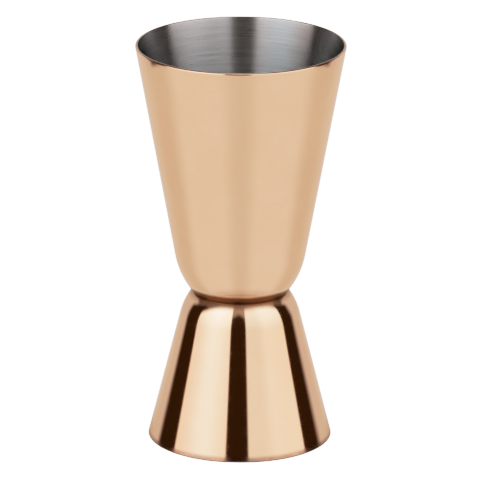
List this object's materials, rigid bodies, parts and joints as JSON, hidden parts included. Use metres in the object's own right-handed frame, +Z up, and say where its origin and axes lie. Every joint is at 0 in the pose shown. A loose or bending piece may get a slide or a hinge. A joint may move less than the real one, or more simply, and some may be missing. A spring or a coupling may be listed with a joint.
{
  "type": "bar jigger",
  "caption": "Double-ended spirit measure: a tall and a short tapered cup joined base to base at a rounded waist, plated outside, bare brushed steel inside.",
  "frame": {"origin": "centre of the small cup's rim, on the plane that the jigger stands on", "axes": "+Z up along the common axis of the two cups towards the large rim; X and Y are free, the part is round"},
  "size_m": [0.0458, 0.0458, 0.089],
  "materials": {
    "brushed_stainless": "stainless sheet, turned satin finish inside the cups with fine rings round the axis",
    "weld_metal": "remelted stainless, dull grey with a faint heat tint at its edge",
    "copper_plate": "polished copper plate, mirror bright with faint spinning lines"
  },
  "bodies": {
    "root": {"large_cup": "brushed_stainless", "small_cup": "brushed_stainless", "spot_welds": "weld_metal", "copper_plating": "copper_plate"}
  },
  "joints": []
}
